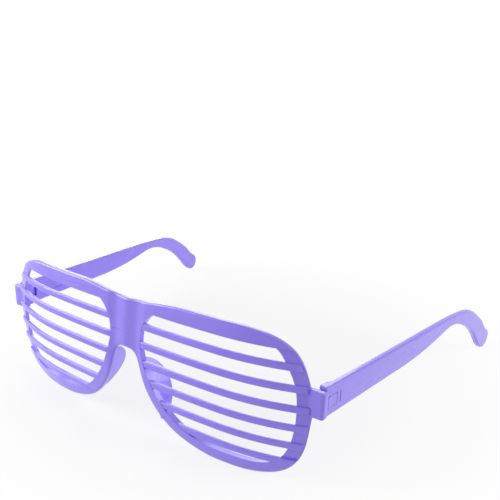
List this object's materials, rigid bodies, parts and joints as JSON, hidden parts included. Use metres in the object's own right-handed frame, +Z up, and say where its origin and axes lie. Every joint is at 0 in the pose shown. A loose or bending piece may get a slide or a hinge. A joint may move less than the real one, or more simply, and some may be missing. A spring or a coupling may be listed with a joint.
{
  "type": "slatted novelty glasses",
  "caption": "Slatted novelty glasses: a wrapped one-piece front with slats across the eye openings and moulded nose pads, and folding temples on hinge pins.",
  "frame": {"origin": "centre of the footprint, on the surface that the rim bottoms and the ear tips stand on, temples open", "axes": "+Z up, +Y back along the open temples, so the front faces -Y, and +X to the right of someone who looks at the front"},
  "size_m": [0.1774, 0.1481, 0.0538],
  "materials": {
    "purple_plastic": "satin moulded plastic",
    "pin_steel": "plain drawn wire"
  },
  "bodies": {
    "front": {"front_frame": "purple_plastic", "right_hinge_pin": "pin_steel", "left_hinge_pin": "pin_steel"},
    "right_arm": {"right_temple": "purple_plastic"},
    "left_arm": {"left_temple": "purple_plastic"}
  },
  "joints": [
    {"name": "right_fold", "type": "hinge", "parent": "front", "child": "right_arm", "pos_m": [0.0737, -0.05937, 0.03113], "axis": [0, 0.0332, 0.9995], "range_deg": [0, 95]},
    {"name": "left_fold", "type": "hinge", "parent": "front", "child": "left_arm", "pos_m": [-0.0737, -0.05937, 0.03113], "axis": [0, -0.0332, -0.9995], "range_deg": [0, 85]}
  ]
}
